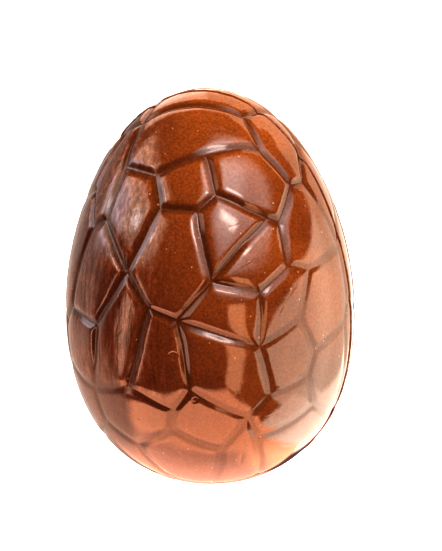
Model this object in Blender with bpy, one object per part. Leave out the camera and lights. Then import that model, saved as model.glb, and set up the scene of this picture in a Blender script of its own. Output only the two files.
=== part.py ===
"""A small chocolate Easter egg lying on its side, its long axis along Y and the pointed end towards +Y.

The surface is cracked into straight-sided tiles parted by V grooves. Places on the egg are given as
(turn, along): degrees round the long axis from straight up, positive towards +X, and millimetres from
mid-length towards the pointed end.
"""

import math

import bmesh
import bpy
from mathutils import Vector

mm = 0.001

# The plain egg under the relief
half_length = 43.0 * mm
girth_radius = 30.9 * mm
blunt_shift = 5.9 * mm  # how far the widest ring sits towards the blunt end
end_fullness = 0.029

# The crackle relief
groove_depth = 0.85 * mm
groove_reach = 1.5 * mm  # from the groove's middle line to the tile's edge
edge_sink = 0.12 * mm  # the tile's edge lies this far below its crown
border_share = 0.25  # the rounded border takes this share of the way from a tile's edge to its middle
crown_share = 0.5
side_cuts = 2  # extra points along each side of a tile

# The joint between the two moulded shells
seam_turn = 75.0
seam_half_width = 0.55 * mm
seam_rise = 0.2 * mm
ridge_reach = 0.002 * mm  # points this near the joint's plane are raised

# The spot that it rests on
rest_cut = 0.4 * mm

cage_size = 200.0 * mm
weld = 0.001 * mm
plane_reach = 0.0001 * mm  # a corner this near a cutting plane counts as on it
search_reach = 1.5  # a ray's far end while the surface is sought along it, in its own lengths
search_halvings = 40

# The chocolate, as linear red, green, blue and alpha
chocolate_colour = (0.27, 0.085, 0.025, 1)
chocolate_roughness = 0.12

# Tiles of one shell: turn, along, and how far the tile's face stands off the egg (less = larger tile)
shell_tiles = {
    "tipLeft": (-16, 37, -0.3),
    "tipRight": (63, 33, 0),
    "crestFarLeft": (-68, 27, 0),
    "crestLeft": (-13, 29, 0),
    "crestRight": (25, 27.5, 0),
    "upperLeft": (-41, 21, 0),
    "upperMiddle": (7, 19.5, 0),
    "upperRight": (53, 18, 0),
    "middleFarLeft": (-55, 8, 0),
    "middleLeft": (-17, 13.5, 0),
    "middleRight": (20, 14, 0),
    "waistLeft": (-38, -4, 0),
    "waistMiddle": (6, 3, 0),
    "waistRight": (33, 5, 0),
    "waistFarRight": (54, 1, 0),
    "lowerFarLeft": (-65, -8.5, 0),
    "lowerLeft": (-19, -8.5, 0),
    "lowerMiddle": (5, -8.5, 0),
    "lowerRight": (31, -7, 0),
    "lowerFarRight": (56, -12, 0),
    "baseFarLeft": (-75, -24, 0),
    "baseLeft": (-35, -20.5, 0),
    "baseMiddle": (-3, -20.5, 0),
    "baseRight": (33, -18, 0),
    "footFarLeft": (-58, -33, 0),
    "footLeft": (-17, -30, 0),
    "footMiddle": (14, -30, 0),
    "footRight": (41, -28, 0),
    "sideUpper": (-98, 24, 0),
    "sideMiddle": (-90, 6, 0),
    "sideLower": (-97, -11, 0),
    "heel": (-80, -40.5, 0),
}

# The second shell repeats the first, but for one larger tile that it rests on
second_shell_turn = 175.0
under_left_out = ["waistMiddle"]
under_tiles = {"lowerMiddle": (3, -3, 0)}

tip_tile = {"tip": (0, 43, 0)}

# Junctions set by hand: the tiles that meet there ("~" marks one of the other shell), turn and along
junctions = [
    (["tipLeft", "crestFarLeft", "tip"], -77, 37),
    (["~tipRight", "crestFarLeft", "tip"], -77, 37),
    (["~tipRight", "tipLeft", "tip"], -77, 37),
    (["~tipRight", "tipLeft", "crestFarLeft"], -77, 37),
    (["upperRight", "~sideUpper", "~sideMiddle"], 71, 11),
    (["upperRight", "waistFarRight", "~sideMiddle"], 71, 11),
    (["lowerFarRight", "footRight", "~sideLower"], 72, -26),
    (["footRight", "~baseFarLeft", "~sideLower"], 72, -26),
    (["tipLeft", "tipRight", "tip"], 44, 39.5),
    (["tipLeft", "upperLeft", "crestFarLeft"], -57, 29.5),
    (["tipLeft", "crestLeft", "upperLeft"], -32, 29.5),
    (["tipLeft", "crestLeft", "crestRight"], -1, 34),
    (["tipLeft", "crestRight", "tipRight"], 40, 33.5),
    (["crestRight", "tipRight", "upperRight"], 50.5, 26),
    (["upperLeft", "middleFarLeft", "crestFarLeft"], -56, 19),
    (["crestLeft", "upperLeft", "middleLeft"], -24.5, 23.5),
    (["crestLeft", "upperMiddle", "middleLeft"], -5.5, 23.5),
    (["crestLeft", "crestRight", "upperMiddle"], 4.5, 26.5),
    (["crestRight", "upperMiddle", "middleRight"], 29, 21),
    (["crestRight", "upperRight", "middleRight"], 35.5, 20),
    (["upperMiddle", "middleLeft", "waistMiddle"], 0.5, 10),
    (["upperMiddle", "middleRight", "waistMiddle"], 0.5, 10),
    (["middleRight", "waistMiddle", "waistRight"], 21.5, 7),
    (["middleRight", "upperRight", "waistRight"], 35, 11),
    (["upperLeft", "middleFarLeft", "waistLeft"], -36.5, 10.5),
    (["upperLeft", "middleLeft", "waistLeft"], -36.5, 10.5),
    (["middleFarLeft", "waistLeft", "lowerFarLeft"], -51.5, -2),
    (["middleFarLeft", "lowerFarLeft", "sideMiddle"], -73, -1),
    (["middleFarLeft", "crestFarLeft", "sideMiddle"], -65, 17),
    (["sideUpper", "crestFarLeft", "sideMiddle"], -78, 23),
    (["middleLeft", "waistLeft", "lowerLeft"], -25, 4),
    (["middleLeft", "waistMiddle", "lowerLeft"], -13, 2),
    (["waistMiddle", "lowerLeft", "lowerMiddle"], -13, 2),
    (["waistMiddle", "waistRight", "lowerRight"], 19.5, -4),
    (["waistMiddle", "lowerMiddle", "lowerRight"], 19.5, -4),
    (["waistRight", "lowerMiddle", "lowerRight"], 19.5, -4),
    (["waistRight", "lowerMiddle", "middleRight"], 19.5, 5),
    (["waistRight", "waistFarRight", "lowerRight"], 38, 0),
    (["waistFarRight", "lowerRight", "lowerFarRight"], 45, -7.5),
    (["waistLeft", "lowerLeft", "baseLeft"], -35, -13.5),
    (["waistLeft", "lowerFarLeft", "baseLeft"], -55, -16.5),
    (["baseFarLeft", "lowerFarLeft", "baseLeft"], -55, -16.5),
    (["lowerLeft", "baseLeft", "baseMiddle"], -15.5, -17.5),
    (["lowerLeft", "lowerMiddle", "baseMiddle"], -8, -13),
    (["lowerMiddle", "baseMiddle", "baseRight"], 15, -20),
    (["footMiddle", "baseMiddle", "baseRight"], 15, -20),
    (["lowerMiddle", "lowerRight", "baseRight"], 24.5, -15),
    (["lowerFarRight", "lowerRight", "baseRight"], 41, -13),
    (["footMiddle", "footRight", "baseRight"], 20, -25),
    (["baseLeft", "baseMiddle", "footLeft"], -18, -22.5),
    (["baseMiddle", "footLeft", "footMiddle"], 4, -27.5),
    (["baseLeft", "footFarLeft", "footLeft"], -37, -28),
]


def swing(along):
    """Sine of the meridian angle at a place along the egg: -1 at the blunt end, 1 at the tip."""
    root = half_length**2 + 4 * blunt_shift * (blunt_shift + along)
    return (math.sqrt(max(root, 0.0)) - half_length) / (2 * blunt_shift)


def girth(along):
    """Radius of the plain egg at a place along it."""
    sine = max(-1.0, min(1.0, swing(along)))
    return girth_radius * math.sqrt(1 - sine**2) * (1 + end_fullness * sine**2)


def outward(point):
    """Unit normal of the plain egg at a point on it."""
    sine = max(-1.0, min(1.0, swing(point.y)))
    cosine = math.sqrt(1 - sine**2)
    radial = half_length + 2 * blunt_shift * sine
    axial = girth_radius * sine * (1 + end_fullness * (sine**2 - 2 * cosine**2))
    turn = math.atan2(point.x, point.z)
    return Vector((radial * cosine * math.sin(turn), axial, radial * cosine * math.cos(turn))).normalized()


def onEgg(point):
    """The point of the plain egg in the same direction from mid-length."""
    low = 0.0
    high = search_reach
    for _ in range(search_halvings):
        share = (low + high) / 2
        trial = point * share
        inside = abs(trial.y) < half_length and math.hypot(trial.x, trial.z) < girth(trial.y)
        low, high = (share, high) if inside else (low, share)
    return point * low


def placed(turn, along):
    angle = math.radians(turn)
    radius = girth(along * mm)
    return Vector((radius * math.sin(angle), along * mm, radius * math.cos(angle)))


def allTiles():
    """Every tile of both shells and the two ends, each as a name and its place."""
    tiles = []
    for name, (turn, along, lift) in shell_tiles.items():
        tiles.append((name, turn, along, lift))
        if name in under_left_out:
            continue
        turn, along, lift = under_tiles.get(name, (turn, along, lift))
        tiles.append((name + "~", turn + second_shell_turn, along, lift))
    for name, (turn, along, lift) in tip_tile.items():
        tiles.append((name, turn, along, lift))
    return tiles


def cageOf(tiles):
    """A many-sided hull whose faces are the tiles: each is the plane that touches the egg at its place."""
    hull = bmesh.new()
    bmesh.ops.create_cube(hull, size=cage_size)
    mark = hull.faces.layers.int.new("tile")
    for face in hull.faces:
        face[mark] = -1
    for index, (name, turn, along, lift) in enumerate(tiles):
        touch = placed(turn, along)
        normal = outward(touch)
        cut = bmesh.ops.bisect_plane(
            hull,
            geom=hull.verts[:] + hull.edges[:] + hull.faces[:],
            dist=plane_reach,
            plane_co=touch + normal * lift * mm,
            plane_no=normal,
            clear_outer=True,
        )
        rim = [part for part in cut["geom_cut"] if isinstance(part, bmesh.types.BMEdge)]
        lid = bmesh.ops.contextual_create(hull, geom=rim)["faces"]
        for face in lid:
            face[mark] = index
    return hull, mark


def inShell(name, shell):
    """The full name of a tile met by a junction of this shell."""
    if name in tip_tile:
        return name
    if name.startswith("~"):
        return name[1:] if shell else name[1:] + "~"
    return name + shell


def setJunctions(hull, mark, tiles):
    """Moves the corners of the cage to the junctions set by hand, in both shells."""
    index = {name: number for number, (name, _, _, _) in enumerate(tiles)}
    meeting = {}
    for vert in hull.verts:
        meeting[vert] = {face[mark] for face in vert.link_faces}
    for names, turn, along in junctions:
        for shell, shell_turn in (("", 0.0), ("~", second_shell_turn)):
            wanted = {index.get(inShell(name, shell)) for name in names}
            for vert, around in meeting.items():
                if wanted <= around:
                    vert.co = placed(turn + shell_turn, along)
    bmesh.ops.remove_doubles(hull, verts=hull.verts[:], dist=weld)


def pullIn(shape, faces, share):
    """Draws a ring inside each face, part of the way to its middle."""
    bmesh.ops.inset_individual(shape, faces=faces, thickness=weld, use_even_offset=True)
    for face in faces:
        middle = face.calc_center_median()
        for vert in face.verts:
            vert.co = vert.co.lerp(middle, share)


def setSink(faces, sink, depth):
    for face in faces:
        for vert in face.verts:
            vert[sink] = depth


def reliefOf(hull):
    """Turns each face of the cage into a tile with groove walls, a rounded border and a crown."""
    for vert in hull.verts:
        vert.co = onEgg(vert.co)
    sink = hull.verts.layers.float.new("sink")
    setSink(hull.faces, sink, groove_depth)
    faces = hull.faces[:]
    rings = set(hull.edges)
    bmesh.ops.inset_individual(hull, faces=faces, thickness=groove_reach, use_even_offset=True)
    setSink(faces, sink, edge_sink)
    for face in faces:
        rings.update(face.edges)
    for share in (border_share, crown_share):
        pullIn(hull, faces, share)
        setSink(faces, sink, 0.0)
        for face in faces:
            rings.update(face.edges)
    bmesh.ops.subdivide_edges(hull, edges=list(rings), cuts=side_cuts)
    bmesh.ops.poke(hull, faces=[face for face in faces if face.is_valid])
    for vert in hull.verts:
        ground = onEgg(vert.co)
        vert.co = ground - outward(ground) * vert[sink]


def addSeam(shape):
    """Raises a low ridge round the egg where the two shells are joined."""
    across = Vector((math.cos(math.radians(seam_turn)), 0, -math.sin(math.radians(seam_turn))))
    for offset in (-seam_half_width, 0.0, seam_half_width):
        bmesh.ops.bisect_plane(
            shape,
            geom=shape.verts[:] + shape.edges[:] + shape.faces[:],
            dist=weld,
            plane_co=across * offset,
            plane_no=across,
        )
    for vert in shape.verts:
        if abs(vert.co.dot(across)) < ridge_reach:
            vert.co += outward(onEgg(vert.co)) * seam_rise


def addRest(shape):
    """Cuts the small flat spot underneath and stands the egg on it."""
    floor = rest_cut - girth_radius
    cut = bmesh.ops.bisect_plane(
        shape,
        geom=shape.verts[:] + shape.edges[:] + shape.faces[:],
        dist=weld,
        plane_co=Vector((0, 0, floor)),
        plane_no=Vector((0, 0, -1)),
        clear_outer=True,
    )
    rim = [part for part in cut["geom_cut"] if isinstance(part, bmesh.types.BMEdge)]
    bmesh.ops.contextual_create(shape, geom=rim)
    bmesh.ops.translate(shape, verts=shape.verts[:], vec=Vector((0, 0, -floor)))


def chocolate():
    material = bpy.data.materials.new("milk_chocolate")
    material.use_nodes = True
    shader = material.node_tree.nodes["Principled BSDF"]
    shader.inputs["Base Color"].default_value = chocolate_colour
    shader.inputs["Roughness"].default_value = chocolate_roughness
    return material


for found in list(bpy.data.objects):
    bpy.data.objects.remove(found, do_unlink=True)

tiles = allTiles()
solid, mark = cageOf(tiles)
setJunctions(solid, mark, tiles)
reliefOf(solid)
addSeam(solid)
addRest(solid)
bmesh.ops.recalc_face_normals(solid, faces=solid.faces[:])

mesh = bpy.data.meshes.new("egg")
solid.to_mesh(mesh)
solid.free()
mesh.materials.append(chocolate())
egg = bpy.data.objects.new("egg", mesh)
collection = bpy.data.collections.new("chocolate_egg")
bpy.context.scene.collection.children.link(collection)
collection.objects.link(egg)
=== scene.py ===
import collections
import math

import bmesh
import bpy
import numpy as np
from mathutils import Matrix, Vector
from mathutils.bvhtree import BVHTree


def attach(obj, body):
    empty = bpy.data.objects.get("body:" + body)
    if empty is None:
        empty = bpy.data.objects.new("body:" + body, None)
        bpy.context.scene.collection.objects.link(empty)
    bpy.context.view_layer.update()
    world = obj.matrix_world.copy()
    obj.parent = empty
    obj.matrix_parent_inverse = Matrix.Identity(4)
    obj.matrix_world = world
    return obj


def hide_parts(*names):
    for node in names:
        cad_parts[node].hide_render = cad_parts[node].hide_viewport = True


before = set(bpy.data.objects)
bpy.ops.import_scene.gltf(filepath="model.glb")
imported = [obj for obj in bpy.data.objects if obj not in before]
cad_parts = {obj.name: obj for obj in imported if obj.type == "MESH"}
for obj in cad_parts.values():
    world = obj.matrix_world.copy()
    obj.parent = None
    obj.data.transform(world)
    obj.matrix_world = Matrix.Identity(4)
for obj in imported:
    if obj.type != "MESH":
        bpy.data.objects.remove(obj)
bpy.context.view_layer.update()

mm = 0.001
scene = bpy.context.scene

eggForm = {  # the plain egg under the relief, the same one the CAD egg is built on
    "halfLength": 43.0 * mm,
    "girthRadius": 30.9 * mm,
    "bluntShift": 5.9 * mm,  # how far the widest ring sits towards the blunt end
    "endFullness": 0.029,
    "restCut": 0.4 * mm,  # taken off underneath, so that it lies still
}
axisHeight = eggForm["girthRadius"] - eggForm["restCut"]
middle = Vector((0, 0, axisHeight))  # mid-length, on the long axis


def directionOf(azimuth, elevation):
    # unit vector: azimuth from the pointed end towards the right, elevation above the table
    turn, rise = math.radians(azimuth), math.radians(elevation)
    return Vector((math.sin(turn) * math.cos(rise), math.cos(turn) * math.cos(rise), math.sin(rise)))


def fromHex(text, strength=1.0):
    # sRGB hex to linear RGBA
    parts = [int(text[i : i + 2], 16) / 255 for i in (1, 3, 5)]
    linear = [part / 12.92 if part <= 0.04045 else ((part + 0.055) / 1.055) ** 2.4 for part in parts]
    return (*[part * strength for part in linear], 1.0)


def addNode(tree, kind, settings, inputs):
    # one node with its settings, and its inputs as values or as links from other nodes
    node = tree.nodes.new(kind)
    for name, value in settings.items():
        setattr(node, name, value)
    for name, value in inputs.items():
        if isinstance(value, bpy.types.NodeSocket):
            tree.links.new(value, node.inputs[name])
        else:
            node.inputs[name].default_value = value
    return node


# ---------------------------------------------------------------- camera
view = {
    "azimuth": 0.0,  # from the pointed end's side
    "elevation": 72.5,
    "roll": 1.11,  # degrees, the egg's tip leans left
    "distance": 0.9,
    "fieldHeight": 117.5 * mm,  # seen at the egg's long axis
    "right": 2.43 * mm,  # the view's centre from mid-length
    "up": 2.15 * mm,
}


def makeCamera():
    data = bpy.data.cameras.new("camera")
    data.sensor_width = 36.0
    data.sensor_fit = "AUTO"
    data.lens = data.sensor_width * view["distance"] / view["fieldHeight"]
    data.clip_start, data.clip_end = 0.01, 20.0
    camera = bpy.data.objects.new("camera", data)
    scene.collection.objects.link(camera)
    back = directionOf(view["azimuth"], view["elevation"])
    right = Vector((1, 0, 0))
    up = back.cross(right)
    turn = Matrix((right, up, back)).transposed().to_4x4() @ Matrix.Rotation(math.radians(-view["roll"]), 4, "Z")
    place = middle + back * view["distance"]
    place += turn.to_3x3() @ Vector((view["right"], view["up"], 0))
    camera.matrix_world = Matrix.Translation(place) @ turn
    scene.camera = camera


makeCamera()
print("camera made")

# ---------------------------------------------------------------- the cracked shell
shellMesh = {
    "valleyAngle": 32.0,  # degrees: a sharper inward fold of the CAD egg is the bottom of a crack
    "weld": 0.001 * mm,
    "spacing": 0.6 * mm,  # between points along a crack
    "rows": [0.15, 0.32, 0.5, 0.75, 1.0, 1.14, 1.25, 1.35, 1.46, 1.62, 1.9, 2.5],  # mm from the bottom of the crack
    "roomLeft": 0.85,  # of the way to where a tile's shortest side would vanish
    "innerRows": [0.35, 0.7],  # shares of the way on to the tile's middle
    "cornerPower": 5.0,  # higher makes a tile's corners sharper
}


bubbles = [  # burst air bubbles: turn and place along the egg, radius
    {"turn": -14.9, "along": -5.8 * mm, "radius": 1.15 * mm, "halvings": 2},
    {"turn": -6.0, "along": -15.5 * mm, "radius": 0.75 * mm, "halvings": 2},
]

def girthAt(along):
    # radius of the plain egg at each place along it
    half, shift = eggForm["halfLength"], eggForm["bluntShift"]
    root = np.sqrt(np.maximum(half**2 + 4 * shift * (shift + along), 0.0))
    sine = np.clip((root - half) / (2 * shift), -1.0, 1.0)
    return eggForm["girthRadius"] * np.sqrt(1 - sine**2) * (1 + eggForm["endFullness"] * sine**2)


def onEgg(rays):
    # the points of the plain egg along rays from mid-length
    rays = rays / np.linalg.norm(rays, axis=1, keepdims=True)
    low = np.zeros(len(rays))
    high = np.full(len(rays), 1.5 * eggForm["halfLength"])
    for _ in range(40):
        reach = (low + high) / 2
        along = rays[:, 1] * reach
        inside = np.hypot(rays[:, 0], rays[:, 2]) * reach < girthAt(along)
        inside &= np.abs(along) < eggForm["halfLength"]
        low, high = np.where(inside, reach, low), np.where(inside, high, reach)
    return rays * low[:, None]


def readTiles(node):
    # the corners of each tile of the CAD egg, in order, as rays from mid-length
    shell = bmesh.new()
    shell.from_mesh(node.data)
    bmesh.ops.remove_doubles(shell, verts=shell.verts, dist=shellMesh["weld"])
    steep = math.radians(shellMesh["valleyAngle"])
    valleys = {
        edge for edge in shell.edges if len(edge.link_faces) == 2 and edge.calc_face_angle_signed() < -steep
    }
    owner, patches = {}, []
    for first in shell.faces:
        if first in owner:
            continue
        owner[first] = len(patches)
        patch, front = [], [first]
        while front:
            face = front.pop()
            patch.append(face)
            for other in [other for edge in face.edges if edge not in valleys for other in edge.link_faces]:
                if other not in owner:
                    owner[other] = len(patches)
                    front.append(other)
        patches.append(patch)
    cracks = {edge for edge in valleys if owner[edge.link_faces[0]] != owner[edge.link_faces[1]]}
    meeting = collections.Counter(vert for edge in cracks for vert in edge.verts)
    tiles = []
    for patch in patches:
        following = {
            loop.vert: loop.link_loop_next.vert for face in patch for loop in face.loops if loop.edge in cracks
        }
        start = vert = next(iter(following))
        outline = []
        while not outline or vert is not start:
            outline.append(vert)
            vert = following[vert]
        tiles.append(np.array([vert.co - middle for vert in outline if meeting[vert] > 2]))
    shell.free()
    return tiles


def tileGrid(corners):
    # points and faces of one tile: rows that run round it, closing on its middle
    rays = corners / np.linalg.norm(corners, axis=1, keepdims=True)
    axis = rays.mean(axis=0)
    axis /= np.linalg.norm(axis)
    across = np.cross(axis, [0.0, 1.0, 0.0] if abs(axis[1]) < 0.9 else [1.0, 0.0, 0.0])
    across /= np.linalg.norm(across)
    upward = np.cross(axis, across)
    toFlat = lambda ray: np.stack([ray @ across, ray @ upward], axis=-1) / (ray @ axis)[..., None]
    toRay = lambda flat: axis + flat[:, :1] * across + flat[:, 1:] * upward
    nextRays = np.roll(rays, -1, axis=0)
    walls = np.cross(rays, nextRays)
    walls /= np.linalg.norm(walls, axis=1, keepdims=True)
    halfway = rays + nextRays
    reach = np.linalg.norm(onEgg(halfway), axis=1) / (np.linalg.norm(halfway, axis=1) / (halfway @ axis))
    # how far each corner of the tile's outline moves for each metre that its sides move inwards
    lines = np.stack([walls @ across, walls @ upward], axis=1)
    moves = np.array(
        [
            np.linalg.solve(np.stack([lines[k - 1], lines[k]]), [1 / reach[k - 1], 1 / reach[k]])
            for k in range(len(rays))
        ]
    )
    flat = toFlat(rays)
    sides = np.roll(flat, -1, axis=0) - flat
    closing = -((np.roll(moves, -1, axis=0) - moves) * sides).sum(axis=1) / (sides**2).sum(axis=1)
    room = shellMesh["roomLeft"] / max(closing.max(), 1e-9)
    last = shellMesh["rows"][-1] * mm
    scale = min(1.0, room / last)
    points = onEgg(rays)
    lengths = np.linalg.norm(np.roll(points, -1, axis=0) - points, axis=1)
    counts = np.maximum(2, np.round(lengths / shellMesh["spacing"]).astype(int))

    def walk(loop):
        following = np.roll(loop, -1, axis=0)
        shares = [np.arange(count)[:, None] / count for count in counts]
        return np.concatenate([loop[k] + (following[k] - loop[k]) * shares[k] for k in range(len(loop))])

    def exactWalk():
        # the same places whichever tile asks, so that neighbours join
        made = []
        for k in range(len(points)):
            ends = [points[k], points[(k + 1) % len(points)]]
            turned = tuple(ends[0]) > tuple(ends[1])
            if turned:
                ends.reverse()
            share = np.arange(counts[k] + 1)[:, None] / counts[k]
            run = ends[0] + (ends[1] - ends[0]) * share
            run = run[::-1] if turned else run
            made.append(run[:-1])
        return np.concatenate(made)

    rows = [exactWalk()]
    for offset in shellMesh["rows"]:
        rows.append(toRay(walk(flat + moves * offset * mm * scale)))
    edge = toFlat(rows[-1])
    hub = edge.mean(axis=0)
    rows += [toRay(edge + (hub - edge) * share) for share in shellMesh["innerRows"]]
    count = len(edge)
    rowsRays = np.concatenate(rows + [toRay(hub[None])])
    placed = onEgg(rowsRays)
    faces = []
    for row in range(len(rows) - 1):
        a, b = row * count, (row + 1) * count
        faces += [(a + j, a + (j + 1) % count, b + (j + 1) % count, b + j) for j in range(count)]
    a, tip = (len(rows) - 1) * count, len(rows) * count
    faces += [(a + j, a + (j + 1) % count, tip) for j in range(count)]
    gaps = np.maximum(placed @ walls.T, 1e-7)
    power = shellMesh["cornerPower"]
    distance = (gaps**-power).sum(axis=1) ** (-1 / power)
    distance[:count] = 0.0
    return placed, faces, distance


def openBubble(joined, bubble):
    # a finer mesh round a burst bubble, and each point's distance from it in bubble radii
    turn, along = math.radians(bubble["turn"]), bubble["along"]
    radius = girthAt(np.array([along]))[0]
    centre = middle + Vector((radius * math.sin(turn), along, radius * math.cos(turn)))
    around = lambda vert: (vert.co - centre).length / bubble["radius"]
    for _ in range(bubble["halvings"]):
        edges = [edge for edge in joined.edges if min(around(vert) for vert in edge.verts) < 1.6]
        made = bmesh.ops.subdivide_edges(joined, edges=edges, cuts=1, use_grid_fill=True)
        fresh = [item for item in made["geom_inner"] if isinstance(item, bmesh.types.BMVert)]
        rays = np.array([vert.co - middle for vert in fresh])
        for vert, place in zip(fresh, onEgg(rays)):
            vert.co = middle + Vector(place)
    pit = joined.verts.layers.float["pit"]
    for vert in joined.verts:
        vert[pit] = min(vert[pit], around(vert))


def fineShell(tiles):
    # the plain egg, meshed tile by tile, with each point's distance from the nearest crack
    points, faces, distances, numbers = [], [], [], []
    used = 0
    for number, corners in enumerate(tiles):
        placed, around, distance = tileGrid(corners)
        points.append(placed)
        faces += [tuple(used + index for index in face) for face in around]
        distances.append(distance)
        numbers.append(np.full(len(placed), number + 1))
        used += len(placed)
    mesh = bpy.data.meshes.new("chocolate_shell")
    mesh.from_pydata(np.concatenate(points) + np.array(middle), [], faces)
    mesh.attributes.new("crackDistance", "FLOAT", "POINT").data.foreach_set("value", np.concatenate(distances))
    mesh.attributes.new("pit", "FLOAT", "POINT").data.foreach_set("value", np.full(used, 9.0))
    mesh.attributes.new("tile", "INT", "POINT").data.foreach_set("value", np.concatenate(numbers))
    joined = bmesh.new()
    joined.from_mesh(mesh)
    bmesh.ops.remove_doubles(joined, verts=joined.verts, dist=shellMesh["weld"])
    for bubble in bubbles:
        openBubble(joined, bubble)
    bmesh.ops.triangulate(joined, faces=[face for face in joined.faces if len(face.verts) > 4])
    opened = sum(len(edge.link_faces) != 2 for edge in joined.edges)
    joined.to_mesh(mesh)
    joined.free()
    print("fine shell:", len(mesh.vertices), "points,", opened, "open edges")
    shell = bpy.data.objects.new("chocolate_shell", mesh)
    scene.collection.objects.link(shell)
    return shell


tiles = readTiles(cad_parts["egg"])
print(len(tiles), "tiles, corners:", sorted(collections.Counter(len(t) for t in tiles).items()))
shell = fineShell(tiles)

relief = {  # how the cracks and tiles stand, read by the Geometry Nodes tree
    "Slope": 0.46,  # of a crack's wall
    "Reach": 1.35 * mm,  # from a crack's middle line to the tile's shoulder
    "Reach change": 0.2 * mm,
    "Shoulder": 0.22 * mm,  # softness of the curve at the shoulder
    "Floor": 0.1 * mm,  # half the width of a crack's rounded floor
    "Floor curve": 0.12 * mm,
    "Waver": 0.55 * mm,  # how far the cracks stray from straight
    "Unevenness": 0.16 * mm,
    "Tile change": 0.08 * mm,  # one tile against the next
    "Crown": 0.12 * mm,
    "Shallow": 0.25,  # share of their depth that the cracks keep on the shallow side
    "Pit depth": 0.13 * mm,
    "Seed": 4,
}


wornTowards = [  # directions in which the mould is worn, and how far out that begins and is complete
    {"direction": (0.88, -0.47, 0.0), "begins": 2.0 * mm, "complete": 13.0 * mm, "share": 1.0},
    {"direction": (0.0, -1.0, 0.0), "begins": 7.0 * mm, "complete": 16.0 * mm, "share": 1.5},
]


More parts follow.
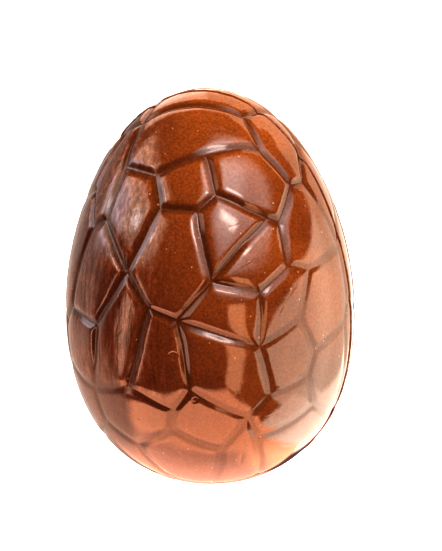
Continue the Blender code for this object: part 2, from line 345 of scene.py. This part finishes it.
def reliefTree(material):
    tree = bpy.data.node_groups.new("crackle relief", "GeometryNodeTree")
    face = tree.interface
    face.new_socket("Geometry", in_out="INPUT", socket_type="NodeSocketGeometry")
    for name in relief:
        kind = "NodeSocketInt" if name == "Seed" else "NodeSocketFloat"
        face.new_socket(name, in_out="INPUT", socket_type=kind)
    face.new_socket("Geometry", in_out="OUTPUT", socket_type="NodeSocketGeometry")
    inputs = addNode(tree, "NodeGroupInput", {}, {}).outputs
    place = addNode(tree, "GeometryNodeInputPosition", {}, {}).outputs[0]
    normal = addNode(tree, "GeometryNodeInputNormal", {}, {}).outputs[0]
    distance = addNode(tree, "GeometryNodeInputNamedAttribute", {"data_type": "FLOAT"}, {"Name": "crackDistance"}).outputs[0]
    tile = addNode(tree, "GeometryNodeInputNamedAttribute", {"data_type": "INT"}, {"Name": "tile"}).outputs[0]

    def math_(operation, *values):
        return addNode(tree, "ShaderNodeMath", {"operation": operation}, dict(enumerate(values))).outputs[0]

    def field(scale, offset):
        # a smooth random value about zero, its grain 1/scale metres
        moved = addNode(tree, "ShaderNodeVectorMath", {"operation": "ADD"}, {0: place, 1: offset}).outputs[0]
        made = addNode(tree, "ShaderNodeTexNoise", {"noise_dimensions": "3D"}, {"Vector": moved, "Scale": scale, "Detail": 1.0})
        return made.outputs

    # walls: a straight slope from the crack's bottom, easing into the tile's face
    width = math_("MULTIPLY", math_("SUBTRACT", field(70.0, (0.3, 0.1, 0.7))[0], 0.5), 4.0)
    reach = math_("ADD", inputs["Reach"], math_("MULTIPLY", width, inputs["Reach change"]))
    eased = []
    for start, softness in ((reach, inputs["Shoulder"]), (inputs["Floor"], inputs["Floor curve"])):
        ease = math_("DIVIDE", math_("SUBTRACT", start, distance), softness)
        eased.append(math_("MULTIPLY", math_("LOGARITHM", math_("ADD", math_("EXPONENT", ease), 1.0), math.e), softness))
    wall = math_("MULTIPLY", math_("SUBTRACT", eased[1], eased[0]), inputs["Slope"])
    # the mould is worn towards one side and the blunt end, so that the cracks are shallower there
    worn = 1.0
    for wear in wornTowards:
        lean = addNode(
            tree, "ShaderNodeVectorMath", {"operation": "DOT_PRODUCT"}, {0: place, 1: wear["direction"]}
        ).outputs[1]
        left = addNode(
            tree,
            "ShaderNodeMapRange",
            {"interpolation_type": "SMOOTHSTEP"},
            {
                "Value": lean,
                "From Min": wear["begins"],
                "From Max": wear["complete"],
                "To Min": 1.0,
                "To Max": math_("MULTIPLY", inputs["Shallow"], wear["share"]),
            },
        ).outputs[0]
        worn = math_("MINIMUM", worn, left)
    wall = math_("MULTIPLY", wall, worn)
    flatter = math_("MULTIPLY_ADD", worn, 0.5, 0.5)
    sunk = addNode(
        tree,
        "GeometryNodeStoreNamedAttribute",
        {"data_type": "FLOAT", "domain": "POINT"},
        {"Geometry": inputs["Geometry"], "Name": "crackDepth", "Value": math_("MULTIPLY", wall, -1.0)},
    ).outputs[0]
    pit = addNode(tree, "GeometryNodeInputNamedAttribute", {"data_type": "FLOAT"}, {"Name": "pit"}).outputs[0]
    dish = addNode(
        tree,
        "ShaderNodeMapRange",
        {"interpolation_type": "SMOOTHSTEP"},
        {"Value": pit, "From Min": 0.7, "From Max": 1.05, "To Min": -1.0, "To Max": 0.0},
    ).outputs[0]
    wall = math_("ADD", wall, math_("MULTIPLY", dish, inputs["Pit depth"]))
    # faces: each stands a little differently, crowned and uneven
    faded = addNode(
        tree,
        "ShaderNodeMapRange",
        {"interpolation_type": "SMOOTHSTEP"},
        {"Value": distance, "From Min": 0.0, "From Max": 4.0 * mm},
    ).outputs[0]
    lot = addNode(
        tree, "FunctionNodeRandomValue", {"data_type": "FLOAT"}, {2: -1.0, 3: 1.0, "ID": tile, "Seed": inputs["Seed"]}
    ).outputs[1]
    step = math_("MULTIPLY", lot, inputs["Tile change"])
    crown = math_("MULTIPLY", math_("SUBTRACT", faded, 1.0), inputs["Crown"])
    lump = math_("MULTIPLY", math_("SUBTRACT", field(95.0, (0.9, 0.4, 0.2))[0], 0.5), inputs["Unevenness"])
    uneven = math_("MULTIPLY", math_("MULTIPLY", math_("ADD", step, lump), faded), flatter)
    raised = math_("ADD", uneven, math_("ADD", math_("MULTIPLY", crown, worn), wall))
    # the cracks stray sideways
    stray = addNode(tree, "ShaderNodeVectorMath", {"operation": "SUBTRACT"}, {0: field(110.0, (0.2, 0.8, 0.5))[1], 1: (0.5, 0.5, 0.5)}).outputs[0]
    inline = addNode(tree, "ShaderNodeVectorMath", {"operation": "PROJECT"}, {0: stray, 1: normal}).outputs[0]
    sideways = addNode(tree, "ShaderNodeVectorMath", {"operation": "SUBTRACT"}, {0: stray, 1: inline}).outputs[0]
    swing = math_("MULTIPLY", inputs["Waver"], 2.0)
    shift = addNode(tree, "ShaderNodeVectorMath", {"operation": "SCALE"}, {0: sideways, "Scale": swing}).outputs[0]
    rise = addNode(tree, "ShaderNodeVectorMath", {"operation": "SCALE"}, {0: normal, "Scale": raised}).outputs[0]
    both = addNode(tree, "ShaderNodeVectorMath", {"operation": "ADD"}, {0: shift, 1: rise}).outputs[0]
    moved = addNode(tree, "GeometryNodeSetPosition", {}, {"Geometry": sunk, "Offset": both}).outputs[0]
    # nothing goes below the table
    parts = addNode(tree, "ShaderNodeSeparateXYZ", {}, {0: place}).outputs
    above = math_("MAXIMUM", parts["Z"], 0.0)
    resting = addNode(tree, "ShaderNodeCombineXYZ", {}, {"X": parts["X"], "Y": parts["Y"], "Z": above}).outputs[0]
    laid = addNode(tree, "GeometryNodeSetPosition", {}, {"Geometry": moved, "Position": resting}).outputs[0]
    smooth = addNode(tree, "GeometryNodeSetShadeSmooth", {}, {"Geometry": laid}).outputs[0]
    real = addNode(tree, "GeometryNodeRealizeInstances", {}, {"Geometry": smooth}).outputs[0]
    given = addNode(tree, "GeometryNodeSetMaterial", {}, {"Geometry": real, "Material": material}).outputs[0]
    addNode(tree, "NodeGroupOutput", {}, {"Geometry": given})
    return tree


def applyTree(piece, tree, values):
    # runs the tree with these inputs and keeps the result as a plain mesh
    modifier = piece.modifiers.new(tree.name, "NODES")
    modifier.node_group = tree
    for item in tree.interface.items_tree:
        if item.in_out == "INPUT" and item.name in values:
            modifier[item.identifier] = values[item.name]
    graph = bpy.context.evaluated_depsgraph_get()
    made = bpy.data.meshes.new_from_object(piece.evaluated_get(graph))
    piece.modifiers.clear()
    piece.data = made
    made.name = piece.name


# ---------------------------------------------------------------- chocolate
# Tempered milk chocolate, cast in a polished mould: glossy, with a thin clear skin of cocoa butter.
chocolate = {
    "darker": "#764316",
    "lighter": "#89521E",
    "bloom": "#A8734C",  # where cocoa butter has come to the surface
    # dark brown of the scorched streaks, also used for the painted shade in the cracks and pinholes
    "scorchedAndPaintedShade": "#4F2A10",
    "speck": "#E2C096",  # crumbs and dust caught in the mould
    "roughness": 0.06,
    "ior": 1.48,
    "cloudGrain": 18.0 * mm,
    "streakWidth": 0.9 * mm,
    "streakLength": 5.0 * mm,
    "streakSlant": 14.0,  # degrees from the long axis
    "streakFrom": 3.0 * mm,  # how far left of the axis the streaks begin
    "streakFull": 17.0 * mm,
    "streakEnd": -20.0 * mm,  # where along the egg the streaks stop
    "waveGrain": 2.6 * mm,
    "waveHeight": 0.012 * mm,
    "streakHeight": 0.06 * mm,
    "speckGap": 1.7 * mm,
    "speckSize": 0.11,  # of the gap
    "holeGap": 4.5 * mm,
    "holeSize": 0.045,
    "crackPaintedShade": 0.6,  # painted shade: how much darker the colour is made down in the cracks
    "bandEdge": 1.35 * mm,  # half the width of the band of painted shade along every crack
    "bandPaintedShade": 0.35,
    "bandGloss": 0.4,
    "dullFrom": 0.08 * mm,  # depth at which a crack begins to look dull and to take painted shade
    "dullFull": 0.35 * mm,
    "gloss": 0.5,  # specular level
    "crackGloss": 0.34,
    "mottleGloss": 0.32,  # specular level where the skin is blotched
    "mottleSpread": 0.3,  # how blotched the rest is, against the streaked side
    "grain": 0.5 * mm,
    "grainShade": 0.2,
    "grainHeight": 0.004 * mm,
}


def makeChocolate():
    material = bpy.data.materials.new("tempered milk chocolate")
    material.use_nodes = True
    tree = material.node_tree
    tree.nodes.clear()
    place = addNode(tree, "ShaderNodeTexCoord", {}, {}).outputs["Object"]
    parts = addNode(tree, "ShaderNodeSeparateXYZ", {}, {0: place}).outputs

    def mixed(share, first, second):
        return addNode(tree, "ShaderNodeMix", {"data_type": "RGBA"}, {"Factor": share, 6: first, 7: second}).outputs[2]

    def ranged(value, low, high, first=0.0, last=1.0):
        return addNode(
            tree,
            "ShaderNodeMapRange",
            {"interpolation_type": "SMOOTHSTEP"},
            {"Value": value, "From Min": low, "From Max": high, "To Min": first, "To Max": last},
        ).outputs[0]

    def times(first, second):
        return addNode(tree, "ShaderNodeMath", {"operation": "MULTIPLY"}, {0: first, 1: second}).outputs[0]

    # slow clouds of lighter and darker brown
    clouds = addNode(
        tree, "ShaderNodeTexNoise", {}, {"Vector": place, "Scale": 1 / chocolate["cloudGrain"], "Detail": 3.0}
    ).outputs[0]
    colour = mixed(ranged(clouds, 0.35, 0.65), fromHex(chocolate["darker"]), fromHex(chocolate["lighter"]))
    # flow streaks on one side, where the chocolate set unevenly
    stretched = addNode(
        tree,
        "ShaderNodeMapping",
        {},
        {
            "Vector": place,
            "Rotation": (0.0, 0.0, math.radians(chocolate["streakSlant"])),
            "Scale": (1 / chocolate["streakWidth"], 1 / chocolate["streakLength"], 1 / chocolate["streakWidth"]),
        },
    ).outputs[0]
    streaks = addNode(
        tree, "ShaderNodeTexNoise", {}, {"Vector": stretched, "Scale": 1.0, "Detail": 4.0, "Roughness": 0.6}
    ).outputs[0]
    patches = addNode(
        tree, "ShaderNodeTexNoise", {}, {"Vector": place, "Scale": 1 / (9.0 * mm), "Detail": 1.0}
    ).outputs[0]
    left = ranged(parts["X"], -chocolate["streakFull"], -chocolate["streakFrom"], 1.0, 0.0)
    left = times(left, ranged(parts["Y"], chocolate["streakEnd"], chocolate["streakEnd"] + 8.0 * mm))
    streaky = times(left, ranged(patches, 0.3, 0.55, 0.35, 1.0))
    colour = mixed(times(streaky, ranged(streaks, 0.5, 0.68, 0.0, 0.75)), colour, fromHex(chocolate["bloom"]))
    colour = mixed(times(streaky, ranged(streaks, 0.48, 0.3, 0.0, 0.7)), colour, fromHex(chocolate["scorchedAndPaintedShade"]))
    # painted shade in the cracks and in a band along them, and a fine grain all over
    depth = addNode(tree, "ShaderNodeAttribute", {"attribute_name": "crackDepth"}, {}).outputs["Fac"]
    deep = ranged(depth, chocolate["dullFrom"], chocolate["dullFull"])
    distance = addNode(tree, "ShaderNodeAttribute", {"attribute_name": "crackDistance"}, {}).outputs["Fac"]
    near = times(ranged(distance, chocolate["bandEdge"], chocolate["bandEdge"] * 0.7), chocolate["bandPaintedShade"])
    paintedShade = addNode(tree, "ShaderNodeMath", {"operation": "MAXIMUM"}, {0: times(deep, chocolate["crackPaintedShade"]), 1: near}).outputs[0]
    # painted shade: the cracks and the band along them are coloured darker
    colour = mixed(paintedShade, colour, fromHex(chocolate["scorchedAndPaintedShade"]))
    grain = addNode(
        tree, "ShaderNodeTexNoise", {}, {"Vector": place, "Scale": 1 / chocolate["grain"], "Detail": 2.0}
    ).outputs[0]
    shade = ranged(grain, 0.3, 0.7, 1 - chocolate["grainShade"], 1 + chocolate["grainShade"])
    colour = addNode(
        tree, "ShaderNodeMix", {"data_type": "RGBA", "blend_type": "MULTIPLY"}, {"Factor": 1.0, 6: colour, 7: shade}
    ).outputs[2]
    # light crumbs, and pinholes with painted shade in them
    crumbs = addNode(
        tree, "ShaderNodeTexVoronoi", {}, {"Vector": place, "Scale": 1 / chocolate["speckGap"]}
    ).outputs
    lot = addNode(tree, "ShaderNodeSeparateColor", {}, {0: crumbs["Color"]}).outputs
    size = times(ranged(lot[0], 0.55, 1.0), chocolate["speckSize"])
    speck = addNode(tree, "ShaderNodeMath", {"operation": "LESS_THAN"}, {0: crumbs["Distance"], 1: size}).outputs[0]
    colour = mixed(times(speck, 0.6), colour, fromHex(chocolate["speck"]))
    holes = addNode(
        tree, "ShaderNodeTexVoronoi", {}, {"Vector": place, "Scale": 1 / chocolate["holeGap"]}
    ).outputs["Distance"]
    hole = ranged(holes, chocolate["holeSize"], chocolate["holeSize"] * 0.5)
    # painted shade: each pinhole is coloured darker
    colour = mixed(times(hole, 0.8), colour, fromHex(chocolate["scorchedAndPaintedShade"]))
    # a gently wavy skin, rougher along the streaks
    waves = addNode(
        tree, "ShaderNodeTexNoise", {}, {"Vector": place, "Scale": 1 / chocolate["waveGrain"], "Detail": 2.0}
    ).outputs[0]
    rough = times(times(streaky, streaks), chocolate["streakHeight"])
    height = addNode(
        tree, "ShaderNodeMath", {"operation": "MULTIPLY_ADD"}, {0: waves, 1: chocolate["waveHeight"], 2: rough}
    ).outputs[0]
    height = addNode(
        tree, "ShaderNodeMath", {"operation": "MULTIPLY_ADD"}, {0: grain, 1: chocolate["grainHeight"], 2: height}
    ).outputs[0]
    height = addNode(
        tree, "ShaderNodeMath", {"operation": "MULTIPLY_ADD"}, {0: speck, 1: 0.01 * mm, 2: height}
    ).outputs[0]
    height = addNode(
        tree, "ShaderNodeMath", {"operation": "MULTIPLY_ADD"}, {0: hole, 1: -0.08 * mm, 2: height}
    ).outputs[0]
    bump = addNode(tree, "ShaderNodeBump", {}, {"Height": height, "Strength": 1.0, "Distance": 1.0}).outputs[0]
    dull = ranged(times(streaky, streaks), 0.2, 0.6, chocolate["roughness"], 0.09)
    # blotches where the skin isn't glossy
    blotched = times(ranged(streaks, 0.56, 0.42), ranged(streaky, 0.0, 1.0, chocolate["mottleSpread"], 1.0))
    gloss = ranged(blotched, 0.0, 1.0, chocolate["gloss"], chocolate["mottleGloss"])
    gloss = addNode(
        tree, "ShaderNodeMath", {"operation": "MINIMUM"}, {0: gloss, 1: ranged(deep, 0.0, 1.0, chocolate["gloss"], chocolate["crackGloss"])}
    ).outputs[0]
    banded = ranged(near, 0.0, chocolate["bandPaintedShade"], chocolate["gloss"], chocolate["bandGloss"])
    gloss = addNode(tree, "ShaderNodeMath", {"operation": "MINIMUM"}, {0: gloss, 1: banded}).outputs[0]
    shader = addNode(
        tree,
        "ShaderNodeBsdfPrincipled",
        {},
        {
            "Base Color": colour,
            "Roughness": dull,
            "IOR": chocolate["ior"],
            "Specular IOR Level": gloss,
            "Normal": bump,
        },
    ).outputs[0]
    addNode(tree, "ShaderNodeOutputMaterial", {}, {"Surface": shader})
    return material


milkChocolate = makeChocolate()
applyTree(shell, reliefTree(milkChocolate), relief)
print("shell:", sum(len(p.vertices) - 2 for p in shell.data.polygons), "triangles")
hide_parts("egg")
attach(shell, "root")

# ---------------------------------------------------------------- the joint's flash
seam = {  # the thin ragged line squeezed out where the two moulded shells were joined
    "Radius": 0.26 * mm,
    "Raggedness": 0.16 * mm,
    "Stray": 0.3 * mm,  # how far it wanders sideways
    "Seed": 11,
}
seamTurn = 75.0  # degrees round the long axis from straight up
seamSteps = 700


def seamPath():
    # where the joint's plane meets the cracked surface
    graph = bpy.context.evaluated_depsgraph_get()
    surface = BVHTree.FromObject(shell, graph)
    turn = math.radians(seamTurn)
    sideways = Vector((math.sin(turn), 0, math.cos(turn)))
    points = []
    for step in range(seamSteps):
        angle = 2 * math.pi * step / seamSteps
        ray = Vector((0, math.cos(angle), 0)) + sideways * math.sin(angle)
        hit = surface.ray_cast(middle + ray * 0.1, -ray)[0]
        points.append(hit)
    mesh = bpy.data.meshes.new("seam_flash")
    mesh.from_pydata(points, [(k, (k + 1) % seamSteps) for k in range(seamSteps)], [])
    flash = bpy.data.objects.new("seam_flash", mesh)
    scene.collection.objects.link(flash)
    return flash


def flashTree(material):
    tree = bpy.data.node_groups.new("seam flash", "GeometryNodeTree")
    face = tree.interface
    face.new_socket("Geometry", in_out="INPUT", socket_type="NodeSocketGeometry")
    for name in seam:
        kind = "NodeSocketInt" if name == "Seed" else "NodeSocketFloat"
        face.new_socket(name, in_out="INPUT", socket_type=kind)
    face.new_socket("Geometry", in_out="OUTPUT", socket_type="NodeSocketGeometry")
    inputs = addNode(tree, "NodeGroupInput", {}, {}).outputs
    place = addNode(tree, "GeometryNodeInputPosition", {}, {}).outputs[0]

    def rough(scale):
        made = addNode(
            tree, "ShaderNodeTexNoise", {"noise_dimensions": "4D"}, {"Vector": place, "W": inputs["Seed"], "Scale": scale, "Detail": 2.0}
        )
        return made.outputs

    path = addNode(tree, "GeometryNodeMeshToCurve", {}, {"Mesh": inputs["Geometry"]}).outputs[0]
    sway = addNode(
        tree, "ShaderNodeVectorMath", {"operation": "SUBTRACT"}, {0: rough(160.0)[1], 1: (0.5, 0.5, 0.5)}
    ).outputs[0]
    offset = addNode(tree, "ShaderNodeVectorMath", {"operation": "SCALE"}, {0: sway, "Scale": inputs["Stray"]}).outputs[0]
    path = addNode(tree, "GeometryNodeSetPosition", {}, {"Geometry": path, "Offset": offset}).outputs[0]
    centred = addNode(tree, "ShaderNodeMath", {"operation": "SUBTRACT"}, {0: rough(900.0)[0], 1: 0.5}).outputs[0]
    swell = addNode(
        tree, "ShaderNodeMath", {"operation": "MULTIPLY_ADD"}, {0: centred, 1: inputs["Raggedness"], 2: inputs["Radius"]}
    ).outputs[0]
    ring = addNode(tree, "GeometryNodeCurvePrimitiveCircle", {}, {"Resolution": 6, "Radius": 1.0}).outputs[0]
    tube = addNode(
        tree, "GeometryNodeCurveToMesh", {}, {"Curve": path, "Profile Curve": ring, "Scale": swell}
    ).outputs[0]
    smooth = addNode(tree, "GeometryNodeSetShadeSmooth", {}, {"Geometry": tube}).outputs[0]
    real = addNode(tree, "GeometryNodeRealizeInstances", {}, {"Geometry": smooth}).outputs[0]
    given = addNode(tree, "GeometryNodeSetMaterial", {}, {"Geometry": real, "Material": material}).outputs[0]
    addNode(tree, "NodeGroupOutput", {}, {"Geometry": given})
    return tree


flash = seamPath()
applyTree(flash, flashTree(milkChocolate), seam)
print("seam flash:", len(flash.data.polygons), "faces")
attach(flash, "root")

# ---------------------------------------------------------------- studio
panels = {  # each lights what is inside its corners: azimuth and elevation as the egg sees them
    "farWall": {
        "corners": [(-48, -62), (-62, -8), (-125, -8), (-165, -72)],
        "colour": "#F8EEDC",
        "strength": 2.3,
        "edge": 0.22,
    },
    "sidePanel": {
        "corners": [(-44, -22), (-48, 38), (-76, 38), (-80, -26)],
        "colour": "#FFF1E0",
        "strength": 7.0,
        "edge": 0.1,
    },
    "sideLamp": {"corners": [(-64, 12), (-63, 26), (-69, 26), (-71, 12)], "colour": "#FFFFFF", "strength": 18.0, "edge": 0.05},
    "sideWindow": {"corners": [(-60, -26), (-64, 2), (-80, 2), (-86, -26)], "colour": "#F0F0FA", "strength": 8.5, "edge": 0.1},
    "warmCard": {
        "corners": [(96, 32), (88, 58), (130, 66), (160, 46), (150, 22), (120, 20)],
        "colour": "#FF9A50",
        "strength": 1.2,
        "edge": 0.08,
    },
    "rightPanel": {
        "corners": [(66, -48), (79, -10), (92, 27), (102, 53), (126, 43), (134, 16), (137, -60), (110, -75)],
        "colour": "#FFF8E6",
        "strength": 6.8,
        "edge": 0.03,
    },
    "rightLow": {
        "corners": [(66, -52), (76, -22), (136, -14), (140, -62), (110, -78)],
        "colour": "#FFF6E2",
        "strength": 5.3,
        "edge": 0.15,
    },
    "cornerPanel": {
        "corners": [(126, 12), (140, 20), (154, 20), (157, -64), (126, -68)],
        "colour": "#FFF0DE",
        "strength": 9.3,
        "edge": 0.03,
    },
    "basePanel": {
        "corners": [(-124, -18), (-130, 27), (-153, 51), (160, 55), (147, 34), (149, -34), (-175, -58), (-148, -45)],
        "colour": "#FFC09C",
        "strength": 12.0,
        "edge": 0.03,
    },
    "baseLow": {
        "corners": [(-122, -20), (-150, 8), (-180, 12), (166, 8), (160, -40), (-175, -58), (-148, -45)],
        "colour": "#FFC9B0",
        "strength": 7.0,
        "edge": 0.12,
    },
    "baseEdge": {
        "corners": [(-104, -70), (-112, 0), (-128, 8), (-147, -14), (-164, -66)],
        "colour": "#F4E0CC",
        "strength": 3.2,
        "edge": 0.1,
    },
    "sideStrip": {"corners": [(-86, 17), (-88, 31), (-120, 20), (-118, 8)], "colour": "#FFE2CC", "strength": 8.0, "edge": 0.07},
    "tipPanel": {
        "corners": [(-52, -40), (-20, -35), (12, -38), (60, -48), (110, -75), (-70, -80)],
        "colour": "#FFE6D2",
        "strength": 9.0,
        "edge": 0.03,
    },
    "tipSidePanel": {
        "corners": [(0, -34), (24, -18), (48, -22), (86, -26), (110, -75), (0, -75)],
        "colour": "#FFEBD2",
        "strength": 4.8,
        "edge": 0.03,
    },
    "flagLeft": {"corners": [(5, -28), (9, -21), (18, -21), (21, -28), (14, -35)], "colour": "#FF9A50", "strength": 0.3, "edge": 0.03},
    "flagRight": {"corners": [(43, -26), (45, -19), (54, -19), (57, -26), (50, -32)], "colour": "#FF9A50", "strength": 0.3, "edge": 0.03},
    "topStrip": {"corners": [(150, 48), (161, 57), (80, 75), (86, 60)], "colour": "#FFCDA6", "strength": 9.0, "edge": 0.03},
    "window": {
        "corners": [(8, 4), (0, 70), (50, 75), (75, 54), (72, 28), (54, 6)],
        "colour": "#D6F0FC",
        "strength": 5.6,
        "edge": 0.16,
    },
    "lamp": {"corners": [(8, 20), (5, 60), (44, 60), (36, 18)], "colour": "#E4F6FF", "strength": 10.0, "edge": 0.14},
    "bulb": {"corners": [(18, 47), (16, 55), (44, 55), (42, 47)], "colour": "#FFFFFF", "strength": 23.0, "edge": 0.055},
}
room = {
    "dim": "#8F9BB0",  # the unlit room, as the gloss mirrors it
    "dimStrength": 0.6,
    "underFade": 0.4,  # what is left of the light that comes from straight below
    "backdrop": 3.0,
    "gamma": 0.65,
    "floor": "#F6F5F4",
    "floorGlow": 1.3,
    "floorSize": 6.0,
}


def makeWorld():
    world = bpy.data.worlds.new("studio")
    world.use_nodes = True
    scene.world = world
    tree = world.node_tree
    tree.nodes.clear()
    looking = addNode(tree, "ShaderNodeTexCoord", {}, {}).outputs["Generated"]
    total = addNode(
        tree, "ShaderNodeRGB", {}, {}
    )
    total.outputs[0].default_value = fromHex("#000000")
    total = total.outputs[0]
    for panel in panels.values():
        corners = [directionOf(*corner) for corner in panel["corners"]]
        centre = sum(corners, Vector())
        lit = None
        for first, second in zip(corners, corners[1:] + corners[:1]):
            inward = first.cross(second).normalized()
            if inward.dot(centre) < 0:
                inward.negate()
            inside = addNode(
                tree, "ShaderNodeVectorMath", {"operation": "DOT_PRODUCT"}, {0: looking, 1: inward}
            ).outputs[1]
            share = addNode(
                tree,
                "ShaderNodeMapRange",
                {"interpolation_type": "SMOOTHSTEP"},
                {"Value": inside, "From Min": -panel["edge"], "From Max": panel["edge"]},
            ).outputs[0]
            lit = share if lit is None else addNode(
                tree, "ShaderNodeMath", {"operation": "MULTIPLY"}, {0: lit, 1: share}
            ).outputs[0]
        glow = fromHex(panel["colour"], panel["strength"])
        total = addNode(
            tree, "ShaderNodeMix", {"data_type": "RGBA"}, {"Factor": lit, 6: total, 7: glow}
        ).outputs[2]
    rise = addNode(tree, "ShaderNodeSeparateXYZ", {}, {0: looking}).outputs["Z"]
    fade = addNode(
        tree,
        "ShaderNodeMapRange",
        {"interpolation_type": "SMOOTHSTEP"},
        {"Value": rise, "From Min": -0.9, "From Max": -0.1, "To Min": room["underFade"]},
    ).outputs[0]
    seen = addNode(tree, "ShaderNodeLightPath", {}, {}).outputs["Is Camera Ray"]
    lights = addNode(tree, "ShaderNodeBackground", {}, {"Color": total, "Strength": fade}).outputs[0]
    walls = addNode(
        tree, "ShaderNodeBackground", {}, {"Color": fromHex(room["dim"]), "Strength": room["dimStrength"]}
    ).outputs[0]
    both = addNode(tree, "ShaderNodeAddShader", {}, {0: lights, 1: walls}).outputs[0]
    backdrop = addNode(tree, "ShaderNodeBackground", {}, {"Strength": room["backdrop"]}).outputs[0]
    shown = addNode(tree, "ShaderNodeMixShader", {}, {0: seen, 1: both, 2: backdrop}).outputs[0]
    addNode(tree, "ShaderNodeOutputWorld", {}, {"Surface": shown})
    world.cycles_visibility.diffuse = False  # the matt body colour is lit by the fills


fills = {  # broad soft lights that the gloss doesn't mirror
    "tipFill": {"azimuth": 31, "elevation": 10, "strength": 6.4, "spread": 40, "colour": "#FFF6E8"},
    "baseFill": {"azimuth": -172, "elevation": -12, "strength": 3.5, "spread": 60, "colour": "#FFE8DC"},
    "above": {"azimuth": 0, "elevation": 90, "strength": 2.6, "spread": 180, "colour": "#FFC4AC"},
    "below": {"azimuth": 0, "elevation": -90, "strength": 2.6, "spread": 180, "colour": "#FFC4AC"},
}


def makeFills():
    for name, values in fills.items():
        data = bpy.data.lights.new(name, "SUN")
        data.energy = values["strength"]
        data.angle = math.radians(values["spread"])
        data.color = fromHex(values["colour"])[:3]
        fill = bpy.data.objects.new(name, data)
        fill.visible_glossy = False
        fill.rotation_mode = "QUATERNION"
        fill.rotation_quaternion = directionOf(values["azimuth"], values["elevation"]).to_track_quat("Z", "Y")
        scene.collection.objects.link(fill)


def makeFloor():
    size = room["floorSize"]
    mesh = bpy.data.meshes.new("floor")
    corners = [(-size, -size, 0), (size, -size, 0), (size, size, 0), (-size, size, 0)]
    mesh.from_pydata(corners, [], [(0, 1, 2, 3)])
    floor = bpy.data.objects.new("floor", mesh)
    material = bpy.data.materials.new("pale card")
    material.use_nodes = True
    card = material.node_tree.nodes["Principled BSDF"].inputs
    card["Base Color"].default_value = fromHex(room["floor"])
    card["Roughness"].default_value = 0.9
    card["Emission Color"].default_value = fromHex(room["floor"])
    card["Emission Strength"].default_value = room["floorGlow"]
    mesh.materials.append(material)
    scene.collection.objects.link(floor)
    floor.visible_glossy = floor.visible_diffuse = floor.visible_shadow = False


makeWorld()
makeFills()
makeFloor()
scene.view_settings.view_transform = "Standard"
scene.view_settings.gamma = room["gamma"]
print("studio made")
